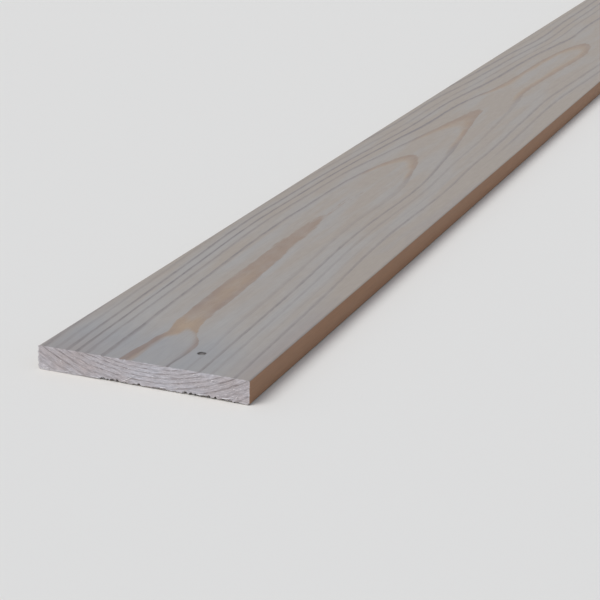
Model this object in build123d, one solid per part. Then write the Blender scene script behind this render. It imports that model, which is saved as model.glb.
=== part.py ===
from build123d import *
import os

# Softwood plank: one piece of planed stock, sawn square at both ends.
# X runs across the width, Y along the length and Z through the thickness.
# The origin is the centre of the underside. The -Y end is the front end.

# Board
LENGTH = 2000.0
WIDTH = 144.0
THICKNESS = 16.0
ARRIS_RADIUS = 1.2  # the four long edges are eased after planing

# Pin knot in the top face: a dead knot that has shrunk below the surface
KNOT_FROM_SIDE = 98.8  # from the -X side
KNOT_FROM_FRONT = 30.0
KNOT_DIAMETER = 5.5
KNOT_DEPTH = 0.8

# Break-out along the front end's lower edge, where the saw left the wood.
# Each chip has torn back along the grain from the sawn end to a point.
# Columns: place from the -X side, width, height on the end, run along the grain
BREAK_OUTS = [
    (48.5, 3.0, 0.6, 8.0),
    (53.0, 4.5, 0.9, 14.0),
    (59.5, 5.0, 0.8, 12.0),
    (69.0, 7.5, 0.7, 18.0),
    (75.5, 4.0, 0.6, 9.0),
    (86.0, 8.0, 0.9, 14.0),
    (94.5, 3.5, 0.6, 8.0),
    (107.5, 8.0, 1.0, 18.0),
    (116.5, 9.0, 1.1, 21.0),
    (127.0, 6.0, 1.0, 12.0),
    (135.5, 4.5, 0.8, 10.0),
    (140.5, 3.0, 0.5, 7.0),
]

FRONT = -LENGTH / 2
SIDE = -WIDTH / 2


def planed_blank():
    """Planed section run out to the full length."""
    section = Pos(0, THICKNESS / 2) * RectangleRounded(WIDTH, THICKNESS, ARRIS_RADIUS)
    return extrude(Plane.XZ.offset(-FRONT) * section, -LENGTH)


def pin_knot():
    """Dished hollow left in the top face by the shrunken knot."""
    rim_radius = KNOT_DIAMETER / 2
    dish_radius = (rim_radius**2 + KNOT_DEPTH**2) / (2 * KNOT_DEPTH)
    height = THICKNESS - KNOT_DEPTH + dish_radius
    return Pos(SIDE + KNOT_FROM_SIDE, FRONT + KNOT_FROM_FRONT, height) * Sphere(dish_radius)


def break_out(place, width, height, run):
    """Half-cone chip: full size on the sawn end, a point on the underside."""
    mouth = Plane.XZ.offset(-FRONT) * Pos(SIDE + place, 0) * Ellipse(width / 2, height)
    return loft([mouth.face(), Vertex(SIDE + place, FRONT + run, 0)])


def plank():
    body = planed_blank() - pin_knot()
    for chip in BREAK_OUTS:
        body -= break_out(*chip)
    return body


os.makedirs("parts", exist_ok=True)
export_step(plank(), "parts/plank.step")
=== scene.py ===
import math
import random
from types import SimpleNamespace

import bmesh
import bpy
from mathutils import Matrix, Vector, noise


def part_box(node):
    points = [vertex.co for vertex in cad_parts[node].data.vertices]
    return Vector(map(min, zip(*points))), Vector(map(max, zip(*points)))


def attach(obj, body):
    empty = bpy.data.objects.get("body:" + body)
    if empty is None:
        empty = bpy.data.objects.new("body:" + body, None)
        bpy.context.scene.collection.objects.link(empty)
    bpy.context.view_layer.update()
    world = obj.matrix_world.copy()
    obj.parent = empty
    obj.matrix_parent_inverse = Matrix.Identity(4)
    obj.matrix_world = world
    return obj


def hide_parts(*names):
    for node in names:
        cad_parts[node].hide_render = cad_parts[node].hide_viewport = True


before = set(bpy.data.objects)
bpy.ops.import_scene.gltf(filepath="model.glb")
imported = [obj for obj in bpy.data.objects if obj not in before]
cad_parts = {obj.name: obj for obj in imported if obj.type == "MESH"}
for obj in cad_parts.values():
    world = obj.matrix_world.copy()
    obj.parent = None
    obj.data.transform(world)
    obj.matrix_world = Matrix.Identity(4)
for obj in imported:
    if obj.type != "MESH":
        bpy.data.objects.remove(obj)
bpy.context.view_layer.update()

bl_info = {
    "name": "Softwood Plank",
    "version": (1, 0, 0),
    "blender": (4, 5, 0),
    "location": "View3D > Sidebar > Plank",
    "description": "A planed softwood plank with sawn ends, torn fibres and its growth rings",
    "category": "Object",
}

MM = 0.001
NODE = "plank"
BODY = "root"

# The board, from the frame, in millimetres. Below, across is counted from the left side, along from
# the front end, inward from the nearer end, up from the underside, and height from the top face, so
# that the wood is at heights below zero.
low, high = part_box(NODE)
WIDTH = (high.x - low.x) / MM
LENGTH = (high.y - low.y) / MM
THICKNESS = (high.z - low.z) / MM
TOUCHING = 0.001  # a point this near a face lies on it

# Growth rings, in millimetres. The stem's centre lies above the board, and its rings are a little
# wider than high. It bends by a few waves: length, size and start in radians.
STEM_ACROSS = 73.1
STEM_HEIGHT = 110.54
STEM_NARROWING = 0.98
SWAYS = [(1800.0, -9.0, 0.0)]
WANDERS = [(610.0, 2.5, 2.0), (260.0, 0.8, 4.0)]
RISES = [(2900.0, 5.0, 4.8), (730.0, 0.75, 1.0), (317.0, 0.3, 2.0), (171.0, 0.1, 0.5)]
WAVES_FROM = 260.0  # the wanders and rises come in slowly up to about here

# The flame at the front end: the rings in the middle of the board step up, and swing round the knot.
# Each change has its size, and its place along the board with the run that it takes, in millimetres.
FLAME_WIDTH = 24.0
FLAME_STEP = 0.46
FLAME_STEP_AT = (55.0, 15.0)
PINCH = 0.24
PINCH_AT = (57.0, 9.0)
SWIRL = 4.0
SWIRL_AT = (36.0, 20.0)
SWING = 1.5
SWING_AT = (66.0, 9.0)

# Ring number from the distance out from the flame's ring: the rings' width, how much and over what
# distance it changes, and one narrow ring on the left with its place aside and its width
FIRST_RING = 111.78
RING_WIDTH = 3.28
RING_SWING = 0.658
RING_CYCLE = 43.7
NARROW_RING = 0.27
NARROW_AT = (-39.0, 8.0)

# Latewood is the hard, dark outer part of a ring. In parts of a ring: where it starts, is full and
# stops in the relief of the sawn ends, and where its colour stops.
LATE_START = 0.6
LATE_FULL = 0.9
LATE_STOP = 0.95
LINE_STOP = 0.96
SAWN_LINE = (0.62, 0.88)  # where the colour starts and is full on the sawn ends

# Pin knot in the top face, in millimetres, and the crack round it: where the crack's inner and outer
# sides lie, as shares of the knot's radius
KNOT_ACROSS = 98.8
KNOT_ALONG = 30.0
KNOT_RADIUS = 2.75
KNOT_DEPTH = 0.8
CRACK_DEPTH = 0.5
CRACK_INSIDE = (0.55, 0.75)
CRACK_OUTSIDE = (0.85, 1.0)

# Chips torn out under the front end: across, width, height and run along the grain
BREAK_OUTS = [
    (48.5, 3.0, 0.6, 8.0),
    (53.0, 4.5, 0.9, 14.0),
    (59.5, 5.0, 0.8, 12.0),
    (69.0, 7.5, 0.7, 18.0),
    (75.5, 4.0, 0.6, 9.0),
    (86.0, 8.0, 0.9, 14.0),
    (94.5, 3.5, 0.6, 8.0),
    (107.5, 8.0, 1.0, 18.0),
    (116.5, 9.0, 1.1, 21.0),
    (127.0, 6.0, 1.0, 12.0),
    (135.5, 4.5, 0.8, 10.0),
    (140.5, 3.0, 0.5, 7.0),
]
CHIP_WANDER = 0.7  # their outlines wander this far aside
CHIP_LUMP = 2.5  # in lumps of this width
CHIP_STRETCH = 0.3  # the lumps' width as a share of their length along the grain
CHIP_GROWTH = 1.05  # the chips are this many times as high as in the solid
CHIP_AND_TEETH = 0.25  # share of the smaller that is added where a chip and the fine teeth meet
UNDERSIDE_REACH = 25.0  # chips and teeth end before this far in
LIFTED_HEIGHT = 4.0  # on the end itself the mesh above them is pressed together up to here

# Fine teeth along the lower edge of a sawn end, which are deeper in some patches, in millimetres
TOOTH_WIDTH = 1.9
TOOTH_CHANGE = 1.9  # their height, as shares of the fray: how much it changes,
TOOTH_USUAL = 0.55  # is usually,
TOOTH_LEAST = 0.15  # and is at least
PATCH_WIDTH = 21.0
PATCH_EDGE = (-0.35, 0.25)  # values of the patches' noise from shallow to deep
SHALLOW_REACH = 6.0
DEEP_REACH = 14.0

# The front end is torn least on its left and a little less at its right corner: shares of the full
# tearing, and where across it changes. The back end is torn half as much.
LEFT_SHARE = 0.3
LEFT_CHANGE = (36.0, 50.0)
RIGHT_SHARE = 0.6
RIGHT_CHANGE = (130.0, 137.0)
BACK_SHARE = 0.5

# Face of a sawn end, in millimetres
SAW_REACH = 4.0  # how far in the saw moved the wood
FACE_DEPTH = 0.12  # how far in the hard wood lies
FINE_TEAR = 0.9  # width of the fine lumps of torn wood
FINE_STRETCH = 0.6  # their width as a share of their height
BROAD_TEAR = 4.0  # width of the broad lumps
BROAD_SHARE = 0.6  # their depth as a share of the fine ones'
TEAR_SHARE = 0.6  # depth of all lumps as a share of the sawn roughness

# Its top rim, which is broken back, in millimetres
RIM_BAND = (0.9, 0.1)  # where it starts and is full, down from the top face
RIM_EVENNESS = 0.6  # share of the face's own relief that it loses
RIM_DEPTH = 0.18
RIM_LUMP = 1.6
RIM_RAGGEDNESS = 0.6

# The burr that bulges out at the left of an end: how far in and across it reaches, how deep the wood
# that moves with it is, the width of its lumps, its usual height as a share of its size, and how near
# it comes to the floor
BURR_REACH = 1.0
BURR_WIDTH = 16.0
BURR_SKIN = 2.5
BURR_LUMP = 1.5
BURR_USUAL = 0.35
FLOOR_GAP = 0.05

# Cuts of the mesh along the board: close at the ends and round the knot, then wider and wider
CLOSE_CUT = 0.5
WIDENING_CUTS = [4.8, 5.8, 7.0, 8.5, 10.0, 12.0, 14.0, 17.0, 20.0, 24.0]
FLAME_CUT = 10.0
LONG_CUT = 100.0

# Finishes of the board's faces. A face is sawn when it is this near an end and turned to it, and is
# the right edge when it is this near the right side and turned to that. The right edge's finish is
# browner than the face and the left edge: painted warm shade, the brown of bounce light on the side
# turned from the lamp.
PLANED_FACE, SHADED_RIGHT_EDGE, SAWN_END = range(3)
SAWN_WITHIN = 0.8
SAWN_TURNED = 0.45
EDGE_WITHIN = 1.5
EDGE_TURNED = 0.8

# A splinter: the straight share of its length, and its radius at the bend and at the tip, each as a
# share of the one before
STRAIGHT = 0.6
AT_BEND = 0.7
AT_TIP = 0.25

# Splinters of an end, each as least and most: how far in their roots lie in millimetres, and their
# radius and length as shares of the usual
EDGE_ROOT = (0.2, 1.6)
EDGE_RADIUS = (0.5, 1.3)
EDGE_LENGTH = (0.5, 1.2)
SIDE_ROOT = (0.2, 1.2)
SIDE_RADIUS = (0.7, 1.8)
SIDE_LENGTH = (0.25, 0.6)
FACE_RADIUS = (0.3, 0.7)
FACE_LENGTH = (0.3, 1.0)

# Their directions: how far they point out of the end or away from a side, drop or curl, a pair being
# least and most, and how widely the rest is spread
EDGE_OUT = 0.8
EDGE_DROP = (-0.35, 0.1)
LEVEL = 0.05  # a splinter that drops less than this is as good as level
EDGE_SPREAD = 0.5
EDGE_CURL = (0.1, 0.5)
SIDE_AWAY = 0.2
SIDE_OUT = (0.1, 0.6)
SIDE_SPREAD = 0.8
SIDE_BEND_SPREAD = 0.3
FACE_OUT = (0.02, 0.1)
FACE_SPREAD = 0.3
BEND_SPREAD = 0.4

# Their places in millimetres. Three in four side splinters are on the left, and those are mostly low.
ROOT_MARGIN = 1.0  # of edge splinters and face fibres from the sides
ABOVE_TEAR = 0.05  # of an edge splinter's root above the torn wood under it
ABOVE_FLOOR = 0.03  # of its lowest part there above the floor
TIP_ABOVE_FLOOR = 0.1
EDGE_JUT = 0.35  # the most that it stands out of the end
SIDE_CHOICE = (-1.0, -1.0, -1.0, 1.0)
SIDE_LOWNESS = 1.7
SIDE_DEPTH = 0.25
SIDE_BAND = (1.0, THICKNESS - 1.5)
FACE_BAND = (0.8, THICKNESS - 0.4)
FACE_TIP_BAND = (0.3, THICKNESS - 0.2)
FACE_SUNK = 0.04

# Long fibres and tufts lifted on the front end: across and up, at root and at tip, and how many times
# as thick as a usual splinter. They stand a little off the face and curl a little.
LONG_FIBRES = [
    (58.0, 0.9, 67.5, 6.6, 1.9),
    (18.5, 1.2, 24.5, 2.9, 1.6),
    (30.0, 0.9, 24.0, 3.1, 1.6),
    (43.0, 0.7, 37.5, 1.6, 1.6),
    (5.4, 1.5, 7.6, 2.0, 2.4),
    (15.2, 7.8, 16.8, 8.3, 2.0),
    (79.0, 7.9, 81.6, 8.1, 2.0),
    (84.6, 1.6, 88.6, 2.3, 2.2),
    (95.2, 3.2, 97.2, 3.7, 2.2),
    (107.0, 14.1, 108.6, 14.5, 1.8),
    (110.4, 14.2, 112.3, 14.7, 2.2),
    (110.0, 1.7, 117.5, 2.3, 2.4),
    (119.0, 12.1, 120.9, 12.5, 2.4),
    (126.0, 1.7, 133.5, 2.8, 2.4),
    (133.4, 8.7, 135.2, 9.4, 2.0),
    (135.2, 3.2, 136.6, 4.8, 2.4),
]
LONG_STAND_OFF = 0.3
LONG_CURL = 0.15

# Gloss of the finishes, and their bump in millimetres. Planer knives burnish the dense latewood and
# leave the open earlywood soft. Sawn and torn wood scatters the light.
BARE_WOOD_IOR = 1.5
EARLYWOOD_ROUGHNESS = 0.62
LATEWOOD_ROUGHNESS = 0.5
SAWN_ROUGHNESS = 0.85
FIBRE_ROUGHNESS = 0.8
FLOOR_ROUGHNESS = 0.9
FINE_BUMP = 0.02
SAWN_BUMP = 0.18

# Patterns of planed wood in millimetres: across, along the grain and up. Spruce fibres are 0.03 mm
# and its resin canals 0.1 mm wide, too fine to show, so streaks, breaks and canals are drawn about
# as wide as a pixel of the render.
STREAKS = (0.6, 34.0, 0.6)
MOTTLING = (4.0, 11.0, 4.0)
RESIN_CANALS = (0.45, 3.5, 0.45)
LINE_BREAKS = (0.45, 5.0, 0.45)
LINE_FADES = (3.0, 22.0, 3.0)
FLAME_FADES = (12.0, 26.0, 12.0)
WARM_PATCHES = (15.0, 150.0, 15.0)
RING_WANDERS = (9.0, 90.0, 9.0)
RING_WAVERS = (1.6, 14.0, 1.6)

# Patterns of torn wood in millimetres. The first four run along a ring, out across it, and not in the
# third direction. Real tufts of torn fibre are 0.1 mm wide and more, drawn here as wide as they show.
TUFT_SHIFTS = (5.0, 0.7, 1.0)
TUFT_BREAKS = (9.0, 1.5, 1.0)
TUFT_STREAKS = (5.5, 0.45, 1.0)
# Flecks where torn fibres catch the light, painted as highlights in the fibre colour
TUFT_HIGHLIGHT_FLECKS = (2.4, 0.55, 1.0)
PINK_PATCHES = (18.0, 18.0, 12.0)
SPECKLES = (0.45, 0.45, 0.45)
FIBRE_PATCHES = (1.5, 1.5, 1.5)

# Strengths of the patterns. The first four shift the rings by this many rings: the wanderings near the
# front end and far from it, the wavers, and the tufts. The others are shares of the colour.
WANDER_NEAR = 0.05
WANDER_FAR = 0.16
WAVER = 0.09
TUFT_SHIFT = 0.42
MOTTLE_STRENGTH = 0.12
CANAL_STRENGTH = 0.04
CANAL_IN_LINE = 0.22
FACE_STREAKS = 0.06
EDGE_STREAKS = 0.12

# Each ring's line is darker or paler than the next by a wave: its turn in radians from ring to ring
# and from the left to the right side, its start, and its size
RING_TURN = 1.85
SIDE_TURN = 2.54
TURN_START = 3.41
LINE_CHANGE = 0.26

# Places in the flame, each with its width or run: the thin right leg, aside of the stem's centre,
# and along the board the gap in the right side, the strongest part and the part with a pale side
FLAME_LEG = (16.0, 5.0)
FLAME_GAP = (58.0, 10.0)
FLAME_STRONG = (69.0, 9.0)
FLAME_PALE = (74.0, 26.0)

# The lines' dark wood in parts of a ring, and how dark it is in the flame
LINE_GROWTH = 0.2  # a line grows dark over this
FLAME_START = 0.67  # the flame starts here,
LEG_LATER = 0.17  # this much later in its thin leg,
LEG_CRISPER = 0.08  # and grows dark over this much less there
LEG_DARKER = 0.3
STRONG_DARKER = 0.5
PALE_PALER = 0.6

# Colour patches across the board, each with its width: rosy on the top face, cool on a sawn end
ROSY_PART = (24.0, 20.0)
COOL_PART = (88.0, 34.0)
COOL_STRENGTH = 0.7
CORNER_SLOPE = 0.9  # the torn lower left corner of an end goes this far across for its height

# The stage: the floor's half width in metres, and where the lamp stands and how broad it looks
FLOOR_REACH = 15.0
LAMP_SIDE = Vector((-0.35, -0.50, 0.79))
LAMP_ANGLE = math.radians(35)

# The camera, solved from straight edges in the photograph
CAMERA_PLACE = Vector((435.8, -1850.4, 389.0)) * MM
CAMERA_AZIMUTH = math.radians(21.36)
CAMERA_ELEVATION = math.radians(19.15)
CAMERA_ROLL = math.radians(1.27)
CAMERA_LENS = 100.2
CAMERA_REACH = 100.0
SENSOR_WIDTH = 36.0


def linear(hex_colour):
    """sRGB hex to linear red, green, blue and alpha."""
    values = [int(hex_colour[i:i + 2], 16) / 255 for i in (1, 3, 5)]
    turned = [v / 12.92 if v <= 0.04045 else ((v + 0.055) / 1.055) ** 2.4 for v in values]
    return (*turned, 1.0)


def tone(name, description, hex_colour):
    """A colour that the user can change."""
    return bpy.props.FloatVectorProperty(
        name=name, description=description, subtype="COLOR", size=4, default=linear(hex_colour))


def measure(name, description, usual, least=0.0):
    """A size that the user can change, from its usual and least values in millimetres."""
    return bpy.props.FloatProperty(
        name=name, description=description, unit="LENGTH", default=usual * MM, min=least * MM)


class PlankShape(bpy.types.PropertyGroup):
    """Sizes of the board and of what the saw did to it"""
    cell: measure("Cell", "Mesh spacing across the board and on its ends", 0.5, 0.2)
    arris: measure("Arris radius", "Rounding of the four long edges", 1.2)
    hollow: measure("Cupping", "How far the middle of the underside hollows", 0.45)
    ridge: measure("Latewood ridge", "How far the hard wood stands out on a sawn end", 0.18)
    roughness: measure("Sawn roughness", "Depth of the saw's tearing on an end", 0.16)
    fray: measure("Fray", "Height of the ragged lower edge of a sawn end", 1.3)
    burr: measure("Burr", "How far the torn rim bulges out at the left of a sawn end", 0.75)


class PlankFibres(bpy.types.PropertyGroup):
    """Numbers and sizes of the splinters and raised fibres on each sawn end"""
    edge_count: bpy.props.IntProperty(
        name="Edge splinters", description="Splinters along the lower edge of an end", default=150, min=0)
    side_count: bpy.props.IntProperty(
        name="Side splinters", description="Short splinters along the upright edges of an end",
        default=80, min=0)
    face_count: bpy.props.IntProperty(
        name="Face fibres", description="Raised fibres on the face of an end", default=240, min=0)
    radius: measure("Radius", "Usual radius of a splinter at its root", 0.14, 0.01)
    length: measure("Length", "Usual length of a splinter", 1.7, 0.1)


class PlankColours(bpy.types.PropertyGroup):
    """Colours of the wood"""
    planed: tone("Planed face", "Earlywood on the planed faces", "#9b9794")
    planed_pale: tone("Planed face, pale", "Earlywood further from the front end", "#a59e97")
    planed_warm: tone("Planed face, warm", "Earlywood where it is yellower", "#a4978a")
    planed_rosy: tone("Planed face, rosy", "Earlywood at the front, left of the flame", "#988e89")
    latewood: tone("Latewood", "Thin dark ring lines on the planed faces", "#7a716f")
    flame: tone("Flame", "Dark side of the latewood where it lies nearly flat in the face", "#877368")
    flame_pale: tone("Flame, pale", "Pale side of the latewood where it lies nearly flat", "#ab9277")
    # The right edge's colours are browner than the face's: the wood's tone with painted warm shade, the
    # brown of bounce light on the side turned from the lamp
    edge: tone("Planed edge", "The right narrow long face", "#9b7456")
    edge_warm: tone("Planed edge, darker", "Browner patches of the right narrow face", "#986e4d")
    edge_line: tone("Edge line", "Ring lines on the right narrow face", "#845d43")
    sawn: tone("Sawn end", "Torn earlywood on the sawn ends", "#c1bcbe")
    sawn_warm: tone("Sawn end, warm", "Pinker patches of the sawn ends", "#b7aba8")
    sawn_ring: tone("Sawn ring", "Ring lines on the sawn ends", "#8d827f")
    # Paler than the wood, and lighter still as a painted highlight of fibres catching the light
    fibre: tone("Fibre", "Raised fibres and splinters", "#dcd6d3")
    knot: tone("Knot", "The dark bark ring of the dead pin knot", "#4a4542")
    knot_heart: tone("Knot heart", "Middle of the dead pin knot", "#7a746f")


class PlankStage(bpy.types.PropertyGroup):
    """The floor, the backdrop and the light"""
    floor: tone("Floor", "Colour of the plain floor", "#efe8dd")
    backdrop: tone("Backdrop", "Colour behind the floor, as the lit floor looks", "#dfe0df")
    sky_colour: tone("Sky colour", "Colour of the even light from all round", "#dbe7fb")
    key_colour: tone("Key colour", "Colour of the soft light from the front left", "#f5f9ff")
    sky: bpy.props.FloatProperty(
        name="Sky light", description="Strength of the even light from all round",
        default=0.46, min=0.0)
    key: bpy.props.FloatProperty(
        name="Key light", description="Strength of the soft light from the front left",
        default=2.16, min=0.0)


def waves(terms, along):
    """Sum of sine waves along the board, zero at the front end."""
    return sum(size * (math.sin(2 * math.pi * along / length + start) - math.sin(start))
               for length, size, start in terms)


def bell(value, middle, width, power=2):
    """1 at the middle, falling to 0 on both sides."""
    return math.exp(-(abs((value - middle) / width) ** power))


def step(along, place, run, size):
    """0 before the place, rising over the run to twice the size."""
    return size * (1 + math.tanh((along - place) / run))


def ring_number(across, along, height):
    """Number of rings from the flame's ring outwards: whole at the dark outer side of each."""
    far = 1 - bell(along, 0.0, WAVES_FROM)
    aside = STEM_NARROWING * (across - STEM_ACROSS)
    aside -= waves(SWAYS, along) + far * waves(WANDERS, along)
    middle = bell(aside, 0.0, FLAME_WIDTH, 4)
    swirl = SWIRL * bell(along, *SWIRL_AT)
    rise = step(along, *FLAME_STEP_AT, FLAME_STEP) + PINCH * bell(along, *PINCH_AT)
    aside -= middle * (swirl - step(along, *SWING_AT, SWING))
    below = STEM_HEIGHT + far * waves(RISES, along) + middle * rise - height
    out = math.hypot(aside, below) - FIRST_RING
    narrow = NARROW_RING * bell(aside, *NARROW_AT)
    return out / RING_WIDTH + RING_SWING * math.sin(2 * math.pi * out / RING_CYCLE) - narrow


def smooth(low_end, high_end, value):
    """0 at low_end, 1 at high_end and a smooth step between."""
    t = min(max((value - low_end) / (high_end - low_end), 0.0), 1.0)
    return t * t * (3 - 2 * t)


def latewood(number):
    """Share of hard, dark wood at a ring number."""
    part = number - math.floor(number)
    return smooth(LATE_START, LATE_FULL, part) * (1 - smooth(LATE_STOP, 1.0, part))


def rough(across, height, along, size, octaves=2):
    """Signed noise whose lumps are about size millimetres across, each octave's half as wide."""
    evenness, fineness = 1.0, 2.0
    return noise.fractal(Vector((across, height, along)) / size, evenness, fineness, octaves)


def chip_height(across, along):
    """Height above the underside of the chips torn out under the front end."""
    found = 0.0
    for place, width, height, run in BREAK_OUTS:
        left = 1 - along / run
        if left > 0:
            aside = (across - place) / (width / 2 * left)
            found = max(found, height * left * math.sqrt(max(1 - aside * aside, 0.0)))
    return found


def fray_height(across, inward, fray, front):
    """Height of the fine teeth along the lower edge of a sawn end: four times as long as wide."""
    layer = 3.0 if front else 57.0
    patch_layer = layer + 9.0
    ragged = rough(across, layer, inward / 4, TOOTH_WIDTH, 3)
    deep = smooth(*PATCH_EDGE, rough(across, patch_layer, 0.0, PATCH_WIDTH))
    reach = SHALLOW_REACH + (DEEP_REACH - SHALLOW_REACH) * deep
    tooth = max(TOOTH_CHANGE * ragged + TOOTH_USUAL, TOOTH_LEAST)
    return fray * (1 + deep) / 2 * tooth * max(1 - inward / reach, 0.0)


def torn_height(across, inward, fray, front):
    """Height above the underside that is torn away, this far in from a sawn end."""
    fine = fray_height(across, inward, fray, front)
    if not front:
        return BACK_SHARE * fine
    share = LEFT_SHARE + (1 - LEFT_SHARE) * smooth(*LEFT_CHANGE, across)
    fine *= share - (1 - RIGHT_SHARE) * smooth(*RIGHT_CHANGE, across)
    chip_layer = 5.0
    wander = CHIP_WANDER * rough(across, chip_layer, inward * CHIP_STRETCH, CHIP_LUMP)
    chip = chip_height(across + wander, inward)
    return max(CHIP_GROWTH * chip, fine) + CHIP_AND_TEETH * min(chip, fine)


def bulge(across, up, burr, front):
    """How far the torn rim bulges out at its left side and lower left corner, in millimetres."""
    layer = 41.0 if front else 67.0
    ragged = max(rough(across, up, layer, BURR_LUMP, 3) + BURR_USUAL, 0.0)
    return burr * ragged * smooth(BURR_WIDTH, 0.0, across)


def relief(across, height, shape, front):
    """How far a sawn end lies in from the cut, in millimetres: least on the hard rings."""
    ridge = shape.ridge / MM * (1 - latewood(ring_number(across, 0.0 if front else LENGTH, height)))
    place = across + (0.0 if front else 31.0)  # each end has lumps of its own
    fine_layer, broad_layer, rim_layer = 5.0, 11.0, 23.0
    fine = rough(place, height * FINE_STRETCH, fine_layer, FINE_TEAR)
    broad = rough(place, height, broad_layer, BROAD_TEAR)
    tear = shape.roughness / MM * TEAR_SHARE * (fine + BROAD_SHARE * broad)
    rim = smooth(*RIM_BAND, -height)
    rim_depth = max(RIM_DEPTH + RIM_RAGGEDNESS * rough(place, 0.0, rim_layer, RIM_LUMP), 0.0)
    return (FACE_DEPTH + ridge + tear) * (1 - RIM_EVENNESS * rim) + rim * rim_depth


def y_stations():
    """Places along the board where the mesh is cut."""
    near = [CLOSE_CUT * i for i in range(1, 9)] + WIDENING_CUTS
    knot = [KNOT_ALONG + CLOSE_CUT * i for i in range(-7, 8)]
    flame = [FLAME_CUT * i for i in range(4, 10)]
    middle = [LONG_CUT * i for i in range(1, round(LENGTH / LONG_CUT))]
    back = [LENGTH - place for place in near]
    return sorted(set(near + knot + flame + middle + back))


def board_grid(shape):
    """A block of the board's size, cut into a grid that is fine at both ends."""
    bm = bmesh.new()
    bmesh.ops.create_cube(bm, size=1.0)
    bmesh.ops.scale(bm, vec=high - low, verts=bm.verts)
    bmesh.ops.translate(bm, vec=(high + low) / 2, verts=bm.verts)
    for place in y_stations():
        parts = bm.verts[:] + bm.edges[:] + bm.faces[:]
        bmesh.ops.bisect_plane(bm, geom=parts, plane_co=(0, low.y + place * MM, 0), plane_no=(0, 1, 0))
    for axis in (0, 2):
        size = (high - low)[axis]
        cuts = round(size / shape.cell) - 1
        edges = [e for e in bm.edges if abs(e.verts[0].co[axis] - e.verts[1].co[axis]) > size / 2]
        bmesh.ops.subdivide_edges(bm, edges=edges, cuts=cuts, use_grid_fill=True)
    return bm


def round_arris(across, up, radius):
    """Moves a point of the square section onto or inside the section with rounded corners."""
    near_x = min(max(across, radius), WIDTH - radius)
    near_z = min(max(up, radius), THICKNESS - radius)
    off = math.hypot(across - near_x, up - near_z)
    if off <= radius or off == 0.0:
        return across, up
    return near_x + (across - near_x) * radius / off, near_z + (up - near_z) * radius / off


def knot_dip(across, along):
    """Depth of the shrunken knot below the top face, with a crack round it."""
    away = math.hypot(across - KNOT_ACROSS, along - KNOT_ALONG) / KNOT_RADIUS
    if away >= 1.0:
        return 0.0
    crack = CRACK_DEPTH * smooth(*CRACK_INSIDE, away) * (1 - smooth(*CRACK_OUTSIDE, away))
    return KNOT_DEPTH * (1 - away ** 2) + crack


def shape_board(bm, shape):
    """Rounds the long edges, hollows the underside, sinks the knot and tears the sawn ends."""
    sizes = (shape.arris, shape.hollow, shape.fray, shape.burr)
    radius, hollow, fray, burr = (size / MM for size in sizes)
    for vert in bm.verts:
        across, along, up = ((here - least) / MM for here, least in zip(vert.co, low))
        front = along < LENGTH / 2
        inward = along if front else LENGTH - along
        on_end = inward < TOUCHING
        on_top = up > THICKNESS - TOUCHING
        across, up = round_arris(across, up, radius)
        up += hollow * (1 - (2 * across / WIDTH - 1) ** 2) * (1 - up / THICKNESS)
        if on_top:
            up -= knot_dip(across, along)
        if inward < BURR_REACH:
            out = bulge(across, up, burr, front) * (1 - inward / BURR_REACH)
            across -= out * smooth(BURR_SKIN, 0.0, across)
            up = max(up - out * smooth(BURR_SKIN, 0.0, up), min(up, FLOOR_GAP))
        if inward < UNDERSIDE_REACH:
            torn = torn_height(across, inward, fray, front)
            up += torn * max(1 - up / LIFTED_HEIGHT, 0.0) if on_end else max(torn - up, 0.0)
        if inward < SAW_REACH:
            inward += relief(across, up - THICKNESS, shape, front) * (1 - inward / SAW_REACH)
        vert.co = end_point(across, up, inward, front)


def end_point(across, up, inward, front):
    """A point of the board in metres, from its place in millimetres in from one end."""
    y = low.y + inward * MM if front else high.y - inward * MM
    return Vector((low.x + across * MM, y, low.z + up * MM))


def mark_faces(bm):
    """Gives each face its finish. The edges between sawn and planed wood stay sharp."""
    bm.normal_update()
    for face in bm.faces:
        middle = face.calc_center_median()
        inward = min(middle.y - low.y, high.y - middle.y)
        face.smooth = True
        if inward < SAWN_WITHIN * MM and abs(face.normal.y) > SAWN_TURNED:
            face.material_index = SAWN_END
        elif face.normal.x > EDGE_TURNED and middle.x > high.x - EDGE_WITHIN * MM:
            face.material_index = SHADED_RIGHT_EDGE
        else:
            face.material_index = PLANED_FACE
    for edge in bm.edges:
        finishes = {face.material_index for face in edge.link_faces}
        edge.smooth = not (SAWN_END in finishes and len(finishes) > 1)


def piece_from(bm, name, materials):
    """Makes a visible piece of the plank from a finished mesh."""
    mesh = bpy.data.meshes.new(name)
    bm.to_mesh(mesh)
    bm.free()
    for material in materials:
        mesh.materials.append(material)
    piece = bpy.data.objects.new(name, mesh)
    bpy.context.scene.collection.objects.link(piece)
    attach(piece, BODY)
    return piece


def splinter(bm, root, direction, length, radius, bend):
    """One tapered splinter from its root along a direction, its outer part bent aside."""
    straight = direction * length * STRAIGHT
    turn = direction.to_track_quat("Z", "Y").to_matrix().to_4x4()
    place = Matrix.Translation(root + straight / 2) @ turn
    made = bmesh.ops.create_cone(bm, cap_ends=True, segments=4, radius1=radius, radius2=radius * AT_BEND,
                                 depth=length * STRAIGHT, matrix=place)
    faces = {face for vert in made["verts"] for face in vert.link_faces}
    cap = max(faces, key=lambda face: face.calc_center_median().dot(direction))
    outer = bmesh.ops.extrude_face_region(bm, geom=[cap])["geom"]
    tip = [part for part in outer if isinstance(part, bmesh.types.BMVert)]
    bmesh.ops.scale(bm, vec=[AT_TIP] * 3, verts=tip, space=Matrix.Translation(-root - straight))
    bmesh.ops.translate(bm, verts=tip, vec=(direction + bend) * length * (1 - STRAIGHT))


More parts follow.
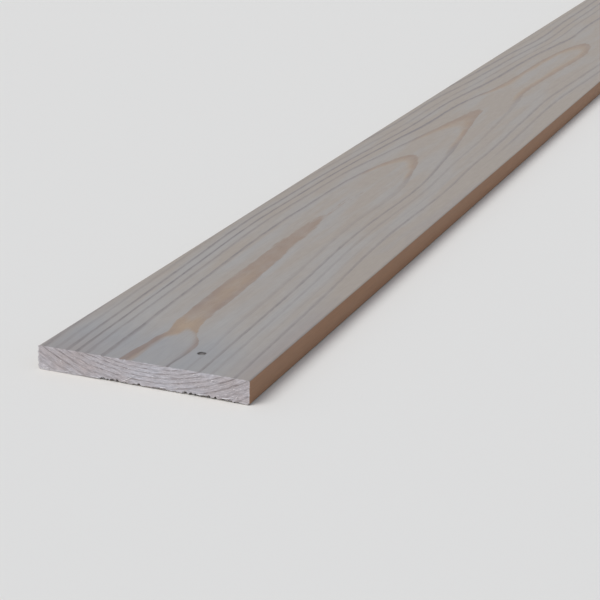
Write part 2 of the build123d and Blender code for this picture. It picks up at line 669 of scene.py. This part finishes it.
def long_fibres(bm, fibres, shape):
    """The few long fibres on the front end, each standing a little off the face."""
    for across, up, to_across, to_up, thickness in LONG_FIBRES:
        root = end_point(across, up, relief(across, up - THICKNESS, shape, True), True)
        reach = end_point(to_across, to_up, -LONG_STAND_OFF, True) - root
        bend = Vector((0.0, 0.0, math.copysign(LONG_CURL, to_across - across)))
        splinter(bm, root, reach.normalized(), reach.length, fibres.radius * thickness, bend)


def edge_splinters(bm, fibres, shape, front, dice):
    """Splinters left along the lower edge of one sawn end, none of them down to the floor."""
    outward = -EDGE_OUT if front else EDGE_OUT
    for _ in range(fibres.edge_count):
        across = dice.uniform(ROOT_MARGIN, WIDTH - ROOT_MARGIN)
        inward = dice.uniform(*EDGE_ROOT)
        radius = fibres.radius * dice.uniform(*EDGE_RADIUS)
        torn = torn_height(across, inward, shape.fray / MM, front)
        up = max(torn + ABOVE_TEAR, radius / MM + ABOVE_FLOOR)
        lean = Vector((dice.gauss(0.0, EDGE_SPREAD), outward, dice.uniform(*EDGE_DROP))).normalized()
        length = fibres.length * dice.uniform(*EDGE_LENGTH)
        drop = max(-lean.z, LEVEL)
        length = min(length, (up - TIP_ABOVE_FLOOR) * MM / drop, (inward + EDGE_JUT) * MM)
        bend = Vector((dice.gauss(0.0, BEND_SPREAD), 0.0, dice.uniform(*EDGE_CURL)))
        splinter(bm, end_point(across, up, inward, front), lean, length, radius, bend)


def side_splinters(bm, fibres, front, dice):
    """Short splinters along the upright edges of one sawn end."""
    outward = -1.0 if front else 1.0
    for _ in range(fibres.side_count):
        side = dice.choice(SIDE_CHOICE)
        across = SIDE_DEPTH if side < 0 else WIDTH - SIDE_DEPTH
        share = dice.random() ** (SIDE_LOWNESS if side < 0 else 1.0)
        up = SIDE_BAND[0] + (SIDE_BAND[1] - SIDE_BAND[0]) * share
        out = outward * dice.uniform(*SIDE_OUT)
        lean = Vector((side * SIDE_AWAY, out, dice.gauss(0.0, SIDE_SPREAD))).normalized()
        root = end_point(across, up, dice.uniform(*SIDE_ROOT), front)
        bend = Vector((dice.gauss(0.0, SIDE_BEND_SPREAD), 0.0, dice.gauss(0.0, BEND_SPREAD)))
        length = fibres.length * dice.uniform(*SIDE_LENGTH)
        splinter(bm, root, lean, length, fibres.radius * dice.uniform(*SIDE_RADIUS), bend)


def face_fibres(bm, fibres, shape, front, dice):
    """Fibres lifted along the rings on the face of one sawn end, where their tips stay on it."""
    outward = -1.0 if front else 1.0
    for _ in range(fibres.face_count):
        across = dice.uniform(ROOT_MARGIN, WIDTH - ROOT_MARGIN)
        up = dice.uniform(*FACE_BAND)
        slope = math.atan2(across - STEM_ACROSS, STEM_HEIGHT + THICKNESS - up)
        slope += dice.gauss(0.0, FACE_SPREAD)
        lean = Vector((math.cos(slope), outward * dice.uniform(*FACE_OUT), math.sin(slope)))
        if dice.random() < 0.5:
            lean.x, lean.z = -lean.x, -lean.z
        length = fibres.length * dice.uniform(*FACE_LENGTH)
        root = end_point(across, up, relief(across, up - THICKNESS, shape, front) + FACE_SUNK, front)
        tip = (root + lean * length - low) / MM
        bend = Vector((dice.gauss(0.0, BEND_SPREAD), 0.0, dice.gauss(0.0, BEND_SPREAD)))
        if FACE_TIP_BAND[0] < tip.z < FACE_TIP_BAND[1] and 0.0 < tip.x < WIDTH:
            splinter(bm, root, lean, length, fibres.radius * dice.uniform(*FACE_RADIUS), bend)


def add(tree, kind, inputs=(), operation=None, **settings):
    """Adds a node with its settings, and its values and links by name or in order.

    Gives back its first output.
    """
    made = tree.nodes.new("ShaderNode" + kind)
    if operation:
        settings["operation"] = operation
    for name, value in settings.items():
        setattr(made, name, value)
    for socket, value in inputs.items() if isinstance(inputs, dict) else enumerate(inputs):
        if isinstance(value, bpy.types.NodeSocket):
            tree.links.new(value, made.inputs[socket])
        else:
            made.inputs[socket].default_value = value
    return made.outputs[0] if made.outputs else made


def new_material(name):
    """An empty node material and its tree."""
    material = bpy.data.materials.new(name)
    material.use_nodes = True
    material.node_tree.nodes.clear()
    return material, material.node_tree


def board_place(tree):
    """Place in the board in millimetres: across, along, height from the top face."""
    coordinates = add(tree, "TexCoord").node.outputs["Object"]
    return add(tree, "Mapping", {
        "Vector": coordinates,
        "Location": (-low.x / MM, -low.y / MM, -high.z / MM),
        "Scale": (1 / MM, 1 / MM, 1 / MM),
    })


def lumps(tree, place, sizes, detail=2.0):
    """Noise from 0 to 1 whose lumps have these sizes in millimetres."""
    scale = tuple(1 / size for size in sizes)
    scaled = add(tree, "VectorMath", [place, scale], "MULTIPLY")
    return add(tree, "TexNoise", {"Vector": scaled, "Scale": 1.0, "Detail": detail})


def varied(tree, place, sizes, least, most, start=0.3, full=0.7, detail=2.0):
    """A value that changes between least and most in lumps of these sizes.

    It is at least where the noise is under the start, and at most where it is over full.
    """
    return add(tree, "MapRange", {"Value": lumps(tree, place, sizes, detail), "From Min": start,
                                  "From Max": full, "To Min": least, "To Max": most})


def sum_of_ramps(tree, total, rows):
    """Adds to a total, for each row, a size that comes in while a value goes from start to full."""
    for value, start, full, size in rows:
        part = add(tree, "MapRange", {"Value": value, "From Min": start, "From Max": full, "To Max": size})
        total = add(tree, "Math", [total, part], "ADD")
    return total


def wave_nodes(tree, terms, along, total):
    """Adds the sum of sine waves, as waves works it out, to a total."""
    for length, size, start in terms:
        turn = add(tree, "Math", [along, 2 * math.pi / length, start], "MULTIPLY_ADD")
        sine = add(tree, "Math", [turn], "SINE")
        total = add(tree, "Math", [sine, size, total], "MULTIPLY_ADD")
        total = add(tree, "Math", [total, size * math.sin(start)], "SUBTRACT")
    return total


def bell_nodes(tree, value, middle, width, power=2.0):
    """A bell, as bell works it out."""
    off = add(tree, "Math", [value, middle], "SUBTRACT")
    off = add(tree, "Math", [off, width], "DIVIDE")
    off = add(tree, "Math", [off], "ABSOLUTE")
    off = add(tree, "Math", [off, power], "POWER")
    off = add(tree, "Math", [off, -1.0], "MULTIPLY")
    return add(tree, "Math", [off], "EXPONENT")


def step_nodes(tree, along, place, run, size):
    """A step, as step works it out."""
    off = add(tree, "Math", [along, place], "SUBTRACT")
    off = add(tree, "Math", [off, run], "DIVIDE")
    off = add(tree, "Math", [off], "TANH")
    return add(tree, "Math", [off, size, size], "MULTIPLY_ADD")


def stem_nodes(tree, across, along, height):
    """A point's distance aside of the stem's centre and below it, as ring_number works them out.

    Gives back also how far the stem's waves have come in.
    """
    near = bell_nodes(tree, along, 0.0, WAVES_FROM)
    far = add(tree, "Math", [1.0, near], "SUBTRACT")
    wander = add(tree, "Math", [wave_nodes(tree, WANDERS, along, 0.0), far], "MULTIPLY")
    centre = wave_nodes(tree, SWAYS, along, wander)
    aside = add(tree, "Math", [across, STEM_NARROWING, -STEM_NARROWING * STEM_ACROSS], "MULTIPLY_ADD")
    aside = add(tree, "Math", [aside, centre], "SUBTRACT")
    middle = bell_nodes(tree, aside, 0.0, FLAME_WIDTH, 4.0)
    swirl = bell_nodes(tree, along, *SWIRL_AT)
    swing = step_nodes(tree, along, *SWING_AT, -SWING)
    swing = add(tree, "Math", [swirl, SWIRL, swing], "MULTIPLY_ADD")
    swing = add(tree, "Math", [swing, middle], "MULTIPLY")
    aside = add(tree, "Math", [aside, swing], "SUBTRACT")
    rise = add(tree, "Math", [wave_nodes(tree, RISES, along, 0.0), far, STEM_HEIGHT], "MULTIPLY_ADD")
    lift = step_nodes(tree, along, *FLAME_STEP_AT, FLAME_STEP)
    pinch = bell_nodes(tree, along, *PINCH_AT)
    lift = add(tree, "Math", [pinch, PINCH, lift], "MULTIPLY_ADD")
    rise = add(tree, "Math", [lift, middle, rise], "MULTIPLY_ADD")
    below = add(tree, "Math", [rise, height], "SUBTRACT")
    return aside, below, far


def ring_nodes(tree, spot):
    """The ring number, as ring_number works it out, with small wanderings of its own.

    Gives back the number, the distance aside of the stem's centre and the distance out.
    """
    aside, below, far = stem_nodes(tree, spot.across, spot.along, spot.height)
    reach = add(tree, "CombineXYZ", [aside, below])
    out = add(tree, "VectorMath", [reach], "LENGTH").node.outputs["Value"]
    out = add(tree, "Math", [out, FIRST_RING], "SUBTRACT")
    cycle = add(tree, "Math", [out, 2 * math.pi / RING_CYCLE], "MULTIPLY")
    cycle = add(tree, "Math", [cycle], "SINE")
    cycle = add(tree, "Math", [cycle, RING_SWING], "MULTIPLY")
    number = add(tree, "Math", [out, 1 / RING_WIDTH, cycle], "MULTIPLY_ADD")
    narrow = bell_nodes(tree, aside, *NARROW_AT)
    number = add(tree, "Math", [narrow, -NARROW_RING, number], "MULTIPLY_ADD")
    much = add(tree, "MapRange", {"Value": far, "To Min": WANDER_NEAR, "To Max": WANDER_FAR})
    for sizes, strength in ((RING_WANDERS, much), (RING_WAVERS, WAVER)):
        wander = add(tree, "Math", [lumps(tree, spot.place, sizes), 0.5], "SUBTRACT")
        number = add(tree, "Math", [wander, strength, number], "MULTIPLY_ADD")
    return number, aside, out


def latewood_nodes(tree, number, start, full):
    """Share of dark wood: a slow start inside each ring and a sharp end."""
    part = add(tree, "Math", [number], "FRACT")
    begin = add(tree, "MapRange", {"Value": part, "From Min": start, "From Max": full},
                interpolation_type="SMOOTHSTEP")
    stop = add(tree, "MapRange", {"Value": part, "From Min": 1.0, "From Max": LINE_STOP},
               interpolation_type="SMOOTHSTEP")
    return add(tree, "Math", [begin, stop], "MULTIPLY")


def finish_surface(tree, colour, roughness, bump_height, bump_distance):
    """The shader of bare wood, with its bump in millimetres."""
    normal = add(tree, "Bump", {"Height": bump_height, "Distance": bump_distance * MM, "Strength": 1.0})
    shader = add(tree, "BsdfPrincipled", {
        "Base Color": colour, "Roughness": roughness, "IOR": BARE_WOOD_IOR, "Normal": normal})
    add(tree, "OutputMaterial", {"Surface": shader})


def board_spot(tree):
    """Where a point lies, by name, in the board and among its rings."""
    spot = SimpleNamespace(place=board_place(tree))
    spot.across, spot.along, spot.height = add(tree, "SeparateXYZ", [spot.place]).node.outputs
    spot.number, spot.aside, spot.out = ring_nodes(tree, spot)
    return spot


def planed_spot(tree):
    """Where a point lies, by name, with its share of the flame and of the flame's thin leg."""
    spot = board_spot(tree)
    spot.off_centre = add(tree, "Math", [spot.aside], "ABSOLUTE")
    spot.flame = add(tree, "MapRange", {"Value": spot.off_centre, "From Min": 24.0, "From Max": 17.0})
    leg = bell_nodes(tree, spot.aside, *FLAME_LEG)
    early = add(tree, "MapRange", {"Value": spot.along, "From Min": 34.0, "From Max": 20.0})
    spot.leg = add(tree, "Math", [leg, early], "MULTIPLY")
    return spot


def line_reach(tree, spot):
    """Where in a ring its dark line starts and where it is full, on a planed face."""
    start = add(tree, "MapRange", {"Value": spot.off_centre, "From Min": 26.0, "From Max": 42.0,
                                   "To Min": 0.72, "To Max": 0.62})
    start = add(tree, "Mix", {0: spot.flame, 2: start, 3: FLAME_START})
    left = add(tree, "MapRange", {"Value": spot.aside, "From Min": 0.0, "From Max": -8.0})
    wider = add(tree, "MapRange", {"Value": spot.along, "From Min": 32.0, "From Max": 8.0, "To Max": -0.12})
    start = add(tree, "Math", [left, wider, start], "MULTIPLY_ADD")
    start = add(tree, "Math", [spot.leg, LEG_LATER, start], "MULTIPLY_ADD")
    right = add(tree, "MapRange", {"Value": spot.aside, "From Min": -3.0, "From Max": 4.0, "To Max": 0.2})
    gap = add(tree, "Math", [bell_nodes(tree, spot.along, *FLAME_GAP), right], "MULTIPLY")
    start = add(tree, "Math", [gap, spot.flame, start], "MULTIPLY_ADD")
    growth = add(tree, "Math", [spot.leg, -LEG_CRISPER, LINE_GROWTH], "MULTIPLY_ADD")
    return start, add(tree, "Math", [growth, start], "ADD")


def line_strength(tree, spot):
    """How dark a ring's line is: it differs from ring to ring, from side to side and along the line."""
    side = add(tree, "MapRange", {"Value": spot.aside, "From Min": -10.0, "From Max": 10.0})
    whole = add(tree, "Math", [spot.number], "FLOOR")
    turn = add(tree, "Math", [side, SIDE_TURN, TURN_START], "MULTIPLY_ADD")
    turn = add(tree, "Math", [whole, RING_TURN, turn], "MULTIPLY_ADD")
    change = add(tree, "Math", [turn], "SINE")
    usual = add(tree, "MapRange", {"Value": side, "To Min": 0.79, "To Max": 0.34})
    usual = sum_of_ramps(tree, usual, [(spot.aside, -30.0, -70.0, -0.36), (spot.aside, 60.0, 65.0, -0.6)])
    strength = add(tree, "Math", [change, LINE_CHANGE, usual], "MULTIPLY_ADD")
    breaks = varied(tree, spot.place, LINE_BREAKS, 0.6, 1.3)
    fades = varied(tree, spot.place, LINE_FADES, 0.65, 1.35)
    breaks = add(tree, "Math", [breaks, fades], "MULTIPLY")
    return add(tree, "Math", [strength, breaks], "MULTIPLY")


def flame_strength(tree, spot):
    """How dark the flame is: it fades in lumps, and is darker in its thin leg and strongest part."""
    strength = varied(tree, spot.place, FLAME_FADES, 0.65, 1.15)
    strength = add(tree, "Math", [spot.leg, LEG_DARKER, strength], "MULTIPLY_ADD")
    strong = bell_nodes(tree, spot.along, *FLAME_STRONG)
    return add(tree, "Math", [strong, STRONG_DARKER, strength], "MULTIPLY_ADD")


def planed_earlywood(tree, spot, tones):
    """Colour between the lines: greyer at the front end, rosy left of the flame, warm in patches."""
    paler = sum_of_ramps(tree, 0.0, [(spot.along, 36.0, 76.0, 1.0), (spot.across, 104.0, 122.0, 0.45)])
    colour = add(tree, "MixRGB", [paler, tones["near"], tones["far"]])
    rosy = add(tree, "MapRange", {"Value": spot.along, "From Min": 38.0, "From Max": 6.0, "To Max": 0.7})
    rosy = add(tree, "Math", [rosy, bell_nodes(tree, spot.across, *ROSY_PART)], "MULTIPLY")
    rosy = sum_of_ramps(tree, rosy, [(spot.across, 8.0, 1.0, 0.75), (spot.across, 126.0, 140.0, 1.0)])
    colour = add(tree, "MixRGB", [rosy, colour, tones["rosy"]])
    patch = varied(tree, spot.place, WARM_PATCHES, 0.0, 1.0, 0.38, 0.68)
    away = add(tree, "MapRange", {"Value": spot.along, "From Min": 30.0, "From Max": 150.0, "To Min": 0.25})
    patch = add(tree, "Math", [patch, away], "MULTIPLY")
    patch = sum_of_ramps(tree, patch, [
        (spot.across, 122.0, 142.0, 0.35), (spot.across, 12.0, 1.0, 0.35), (spot.along, 60.0, 500.0, 0.45)])
    return add(tree, "MixRGB", [patch, colour, tones["warm"]])


def planed_latewood(tree, spot, tones):
    """Colour of the lines. The flame is darker on its outer side, and dark all over at the front."""
    part = add(tree, "Math", [spot.number], "FRACT")
    outer = add(tree, "MapRange", {"Value": part, "From Min": 0.68, "From Max": 0.92})
    dark = add(tree, "MapRange", {"Value": spot.along, "From Min": 90.0, "From Max": 160.0,
                                  "To Min": 1.0, "To Max": 0.7})
    pale = bell_nodes(tree, spot.along, *FLAME_PALE)
    dark = add(tree, "Math", [pale, -PALE_PALER, dark], "MULTIPLY_ADD")
    outer = add(tree, "Math", [outer, dark], "MULTIPLY")
    outer = sum_of_ramps(tree, outer, [(spot.along, 54.0, 38.0, 0.6)])
    flame = add(tree, "MixRGB", [outer, tones["flame_pale"], tones["flame"]])
    bold = add(tree, "Math", [spot.flame, spot.leg], "SUBTRACT")
    return add(tree, "MixRGB", [bold, tones["line"], flame])


def planed_shade(tree, spot, late, streak, strength):
    """Share of the colour that is left by streaks, mottling and resin canals, most in the lines."""
    shade = add(tree, "MapRange", {"Value": streak, "From Min": 0.25, "From Max": 0.75,
                                   "To Min": 1.0 - strength, "To Max": 1.0 + strength})
    mottle = lumps(tree, spot.place, MOTTLING, 3.0)
    shade = add(tree, "Math", [mottle, MOTTLE_STRENGTH, shade], "MULTIPLY_ADD")
    shade = add(tree, "Math", [shade, MOTTLE_STRENGTH / 2], "SUBTRACT")
    canals = varied(tree, spot.place, RESIN_CANALS, 0.0, 1.0, 0.66, 0.74, 1.0)
    held = add(tree, "Math", [late, CANAL_IN_LINE, CANAL_STRENGTH], "MULTIPLY_ADD")
    canals = add(tree, "Math", [canals, held], "MULTIPLY")
    left = add(tree, "Math", [1.0, canals], "SUBTRACT")
    return add(tree, "Math", [shade, left], "MULTIPLY")


def with_knot(tree, spot, colour, tones):
    """The colour, with the pin knot's dark bark and paler heart in its place."""
    away = add(tree, "VectorMath", [spot.place, (KNOT_ACROSS, KNOT_ALONG, 0.0)], "DISTANCE")
    away = away.node.outputs["Value"]
    inside = add(tree, "MapRange", {"Value": away, "From Min": 3.1, "From Max": 2.6})
    bark = add(tree, "MapRange", {"Value": away, "From Min": 1.2, "From Max": 2.3})
    knot = add(tree, "MixRGB", [bark, tones["knot_heart"], tones["knot"]])
    return add(tree, "MixRGB", [inside, colour, knot])


def planed_wood(name, streaks, tones):
    """Spruce cut by a planer's knives: flat and smooth, with a silky look along the grain.

    The burnished latewood stands out as crisp darker lines, a little glossier than the soft wood
    between them. The tones are the colours of its parts by name.
    """
    tones = {part: tuple(colour) for part, colour in tones.items()}
    material, tree = new_material(name)
    spot = planed_spot(tree)
    late = latewood_nodes(tree, spot.number, *line_reach(tree, spot))
    strength = add(tree, "Mix", {0: spot.flame, 2: line_strength(tree, spot), 3: flame_strength(tree, spot)})
    late = add(tree, "Math", [late, strength], "MULTIPLY", use_clamp=True)
    early = planed_earlywood(tree, spot, tones)
    colour = add(tree, "MixRGB", [late, early, planed_latewood(tree, spot, tones)])
    streak = lumps(tree, spot.place, STREAKS, 3.0)
    shade = planed_shade(tree, spot, late, streak, streaks)
    colour = add(tree, "VectorMath", {0: colour, "Scale": shade}, "SCALE")
    colour = with_knot(tree, spot, colour, tones)
    roughness = add(tree, "MapRange", {
        "Value": late, "To Min": EARLYWOOD_ROUGHNESS, "To Max": LATEWOOD_ROUGHNESS})
    finish_surface(tree, colour, roughness, streak, FINE_BUMP)
    return material


def shaded(tree, colour, pattern, least, most):
    """The colour, darkened to its least share and lightened to its most by a pattern of noise."""
    shade = add(tree, "MapRange", {"Value": pattern, "From Min": 0.3, "From Max": 0.7,
                                   "To Min": least, "To Max": most})
    return add(tree, "VectorMath", {0: colour, "Scale": shade}, "SCALE")


def sawn_spot(tree):
    """Where a point lies, by name: also along its ring, and how far from the torn lower left corner.

    Broken is what the tearing leaves there of a line or a rim, and clear what the corner leaves.
    """
    spot = board_spot(tree)
    spot.polar = add(tree, "CombineXYZ", [spot.aside, spot.out])
    spot.corner = add(tree, "Math", [spot.height, CORNER_SLOPE, spot.across], "MULTIPLY_ADD")
    spot.clear = add(tree, "MapRange", {"Value": spot.corner, "From Min": -12.0, "From Max": 3.0,
                                        "To Min": 0.1})
    spot.broken = varied(tree, spot.polar, TUFT_BREAKS, 0.15, 1.0, 0.36, 0.66)
    return spot


def sawn_rings(tree, spot):
    """Share of ring line on a sawn end, shifted and broken by the tearing."""
    shift = add(tree, "Math", [lumps(tree, spot.polar, TUFT_SHIFTS), 0.5], "SUBTRACT")
    number = add(tree, "Math", [shift, TUFT_SHIFT, spot.number], "MULTIPLY_ADD")
    late = latewood_nodes(tree, number, *SAWN_LINE)
    late = add(tree, "Math", [late, spot.broken], "MULTIPLY")
    return add(tree, "Math", [late, spot.clear], "MULTIPLY")


def sawn_earlywood(tree, spot, colours):
    """Pale torn wood with pinker patches, fewest right of the middle and at the torn corner."""
    patch = varied(tree, spot.place, PINK_PATCHES, 0.45, 1.1, 0.35, 0.65)
    cool = bell_nodes(tree, spot.across, *COOL_PART)
    patch = add(tree, "Math", [cool, -COOL_STRENGTH, patch], "MULTIPLY_ADD", use_clamp=True)
    half_clear = add(tree, "Math", [spot.clear, 0.5, 0.5], "MULTIPLY_ADD")
    patch = add(tree, "Math", [patch, half_clear], "MULTIPLY")
    return add(tree, "MixRGB", [patch, tuple(colours.sawn), tuple(colours.sawn_warm)])


def pale_fibre_and_highlight(tree, spot):
    """Share of pale fibre on a sawn end, along its rims and in flecks all over: painted highlight of torn
    fibres catching the light, on their own paleness.
    """
    rim = add(tree, "MapRange", {"Value": spot.height, "From Min": -1.1, "From Max": -0.2})
    share = add(tree, "MapRange", {"Value": spot.across, "From Min": 45.0, "From Max": 95.0,
                                   "To Min": 0.1, "To Max": 0.4})
    rim = add(tree, "Math", [rim, share], "MULTIPLY")
    foot = add(tree, "MapRange", {"Value": spot.height, "From Min": 1.8 - THICKNESS,
                                  "From Max": 0.9 - THICKNESS, "To Max": 0.6})
    rim = add(tree, "Math", [rim, foot], "MAXIMUM")
    off_middle = add(tree, "Math", [spot.across, WIDTH / 2], "SUBTRACT")
    off_middle = add(tree, "Math", [off_middle], "ABSOLUTE")
    side = add(tree, "MapRange", {"Value": off_middle, "From Min": WIDTH / 2 - 0.8,
                                  "From Max": WIDTH / 2 - 0.2, "To Max": 0.65})
    rim = add(tree, "Math", [rim, side], "MAXIMUM")
    rim = add(tree, "Math", [rim, spot.broken], "MULTIPLY")
    flecks = lumps(tree, spot.polar, TUFT_HIGHLIGHT_FLECKS, 1.0)
    flecks = sum_of_ramps(tree, flecks, [(spot.corner, -4.0, -12.0, 0.1)])
    flecks = add(tree, "MapRange", {"Value": flecks, "From Min": 0.66, "From Max": 0.75})
    return add(tree, "Math", [rim, flecks], "MAXIMUM")


def sawn_wood(colours):
    """Spruce end grain as a saw leaves it: the soft wood is torn up into pale matt tufts.

    They catch the light, and break up the darker arcs of the hard wood, which is cut cleaner.
    """
    material, tree = new_material("sawn_spruce_end_grain")
    spot = sawn_spot(tree)
    early = sawn_earlywood(tree, spot, colours)
    colour = add(tree, "MixRGB", [sawn_rings(tree, spot), early, tuple(colours.sawn_ring)])
    streak = lumps(tree, spot.polar, TUFT_STREAKS, 3.0)
    # Streaks of the torn tufts: tone that differs at random, their lightest parts also painted highlight of
    # fibres catching the light
    colour = shaded(tree, colour, streak, 0.7, 1.27)
    # Painted highlight: pale fibre colour along the rims and in flecks, where torn fibres catch the light
    colour = add(tree, "MixRGB", [pale_fibre_and_highlight(tree, spot), colour, tuple(colours.fibre)])
    speckle = lumps(tree, spot.place, SPECKLES, 3.0)
    colour = shaded(tree, colour, speckle, 0.9, 1.1)
    bump = add(tree, "Math", [speckle, streak], "ADD")
    finish_surface(tree, colour, SAWN_ROUGHNESS, bump, SAWN_BUMP)
    return material


def torn_fibre(colours):
    """Bundles of spruce fibre torn loose by the saw: dry and matt, paler than the wood round them, partly by
    their own colour and partly as painted highlight.
    """
    material, tree = new_material("torn_spruce_fibre")
    shade = varied(tree, board_place(tree), FIBRE_PATCHES, 0.85, 1.1, 0.0, 1.0)
    colour = add(tree, "VectorMath", {0: tuple(colours.fibre)[:3], "Scale": shade}, "SCALE")
    finish_surface(tree, colour, FIBRE_ROUGHNESS, shade, FINE_BUMP)
    return material


def floor_material(stage):
    """Plain matt paint, without gloss, so that the plank's soft shadow is all that shows on it."""
    material, tree = new_material("plain_matt_floor")
    shader = add(tree, "BsdfPrincipled", {"Base Color": tuple(stage.floor), "Roughness": FLOOR_ROUGHNESS})
    add(tree, "OutputMaterial", {"Surface": shader})
    return material


class PLANK_OT_board(bpy.types.Operator):
    """Make the planed board with its sawn ends and pin knot"""
    bl_idname = "plank.board"
    bl_label = "Planed Board"

    def execute(self, context):
        shape = context.scene.plank_shape
        colours = context.scene.plank_colours
        bm = board_grid(shape)
        shape_board(bm, shape)
        mark_faces(bm)
        line = colours.edge_line
        face = planed_wood("planed_spruce_face", FACE_STREAKS, {
            "near": colours.planed, "far": colours.planed_pale, "warm": colours.planed_warm,
            "rosy": colours.planed_rosy, "line": colours.latewood, "flame": colours.flame,
            "flame_pale": colours.flame_pale, "knot": colours.knot, "knot_heart": colours.knot_heart})
        # The right edge's own finish, browner than the face: painted warm shade of the side turned from the
        # lamp
        edge = planed_wood("right_edge_painted_warm_shade", EDGE_STREAKS, {
            "near": colours.edge, "far": colours.edge, "warm": colours.edge_warm, "rosy": colours.edge,
            "line": line, "flame": line, "flame_pale": line, "knot": line, "knot_heart": line})
        board = piece_from(bm, "planed_board", [face, edge, sawn_wood(colours)])
        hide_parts(NODE)
        return {"FINISHED"}


class PLANK_OT_fibres(bpy.types.Operator):
    """Make the splinters and raised fibres of both sawn ends"""
    bl_idname = "plank.fibres"
    bl_label = "Torn Fibres"

    def execute(self, context):
        fibres = context.scene.plank_fibres
        shape = context.scene.plank_shape
        for name, front, seed in (("front_end_fibres", True, 11), ("back_end_fibres", False, 23)):
            bm = bmesh.new()
            dice = random.Random(seed)
            edge_splinters(bm, fibres, shape, front, dice)
            side_splinters(bm, fibres, front, dice)
            face_fibres(bm, fibres, shape, front, dice)
            if front:
                long_fibres(bm, fibres, shape)
            piece_from(bm, name, [torn_fibre(context.scene.plank_colours)])
        return {"FINISHED"}


class PLANK_OT_stage(bpy.types.Operator):
    """Make the floor, the soft lights and the camera"""
    bl_idname = "plank.stage"
    bl_label = "Stage"

    def execute(self, context):
        stage = context.scene.plank_stage
        make_floor(stage)
        make_lamp(stage)
        make_sky(stage)
        make_camera()
        context.scene.view_settings.view_transform = "Standard"
        return {"FINISHED"}


def make_floor(stage):
    """A large plain floor under the board."""
    bm = bmesh.new()
    bmesh.ops.create_grid(bm, x_segments=1, y_segments=1, size=FLOOR_REACH)
    mesh = bpy.data.meshes.new("floor")
    bm.to_mesh(mesh)
    bm.free()
    mesh.materials.append(floor_material(stage))
    floor = bpy.data.objects.new("floor", mesh)
    bpy.context.scene.collection.objects.link(floor)


def make_lamp(stage):
    """One broad soft lamp from the front left."""
    data = bpy.data.lights.new("key", "SUN")
    data.energy = stage.key
    data.color = tuple(stage.key_colour)[:3]
    data.angle = LAMP_ANGLE
    lamp = bpy.data.objects.new("key", data)
    lamp.rotation_euler = LAMP_SIDE.to_track_quat("Z", "Y").to_euler()
    bpy.context.scene.collection.objects.link(lamp)


def make_sky(stage):
    """Even light from all round. The camera and reflections see the pale backdrop in its place."""
    world = bpy.data.worlds.new("studio")
    world.use_nodes = True
    tree = world.node_tree
    tree.nodes.clear()
    path = add(tree, "LightPath").node.outputs
    seen = add(tree, "Math", [path["Is Camera Ray"], path["Is Glossy Ray"]], "ADD")
    seen = add(tree, "Math", [seen, path["Is Transmission Ray"]], "ADD", use_clamp=True)
    light = add(tree, "Background", {"Color": tuple(stage.sky_colour), "Strength": stage.sky})
    backdrop = add(tree, "Background", {"Color": tuple(stage.backdrop), "Strength": 1.0})
    both = add(tree, "MixShader", [seen, light, backdrop])
    add(tree, "OutputWorld", {"Surface": both})
    bpy.context.scene.world = world


def make_camera():
    """The camera at the photograph's place and angle."""
    data = bpy.data.cameras.new("camera")
    data.sensor_fit = "HORIZONTAL"
    data.sensor_width = SENSOR_WIDTH
    data.lens = CAMERA_LENS
    data.clip_end = CAMERA_REACH
    camera = bpy.data.objects.new("camera", data)
    turn = Matrix.Rotation(CAMERA_AZIMUTH, 4, "Z")
    tilt = Matrix.Rotation(math.pi / 2 - CAMERA_ELEVATION, 4, "X")
    roll = Matrix.Rotation(CAMERA_ROLL, 4, "Z")
    camera.matrix_world = Matrix.Translation(CAMERA_PLACE) @ turn @ tilt @ roll
    bpy.context.scene.collection.objects.link(camera)
    bpy.context.scene.camera = camera


SETTINGS = {"plank_shape": PlankShape, "plank_fibres": PlankFibres,
            "plank_colours": PlankColours, "plank_stage": PlankStage}
OPERATORS = (PLANK_OT_board, PLANK_OT_fibres, PLANK_OT_stage)


class PLANK_PT_panel(bpy.types.Panel):
    """Lists the plank's settings and pieces in the sidebar"""
    bl_idname = "PLANK_PT_panel"
    bl_label = "Softwood Plank"
    bl_space_type = "VIEW_3D"
    bl_region_type = "UI"
    bl_category = "Plank"

    def draw(self, context):
        for name in SETTINGS:
            group = getattr(context.scene, name)
            box = self.layout.box()
            for value in group.__annotations__:
                box.prop(group, value)
        for operator in OPERATORS:
            self.layout.operator(operator.bl_idname)


CLASSES = (*SETTINGS.values(), *OPERATORS, PLANK_PT_panel)


def register():
    """Adds the classes, and the plank's settings to the scene."""
    for kind in CLASSES:
        bpy.utils.register_class(kind)
    for name, group in SETTINGS.items():
        setattr(bpy.types.Scene, name, bpy.props.PointerProperty(type=group))


def unregister():
    """Takes out what register adds."""
    for name in SETTINGS:
        delattr(bpy.types.Scene, name)
    for kind in reversed(CLASSES):
        bpy.utils.unregister_class(kind)


def main():
    """Makes the stage and the plank."""
    register()
    bpy.ops.plank.stage()
    bpy.ops.plank.board()
    bpy.ops.plank.fibres()


if __name__ == "__main__":
    main()
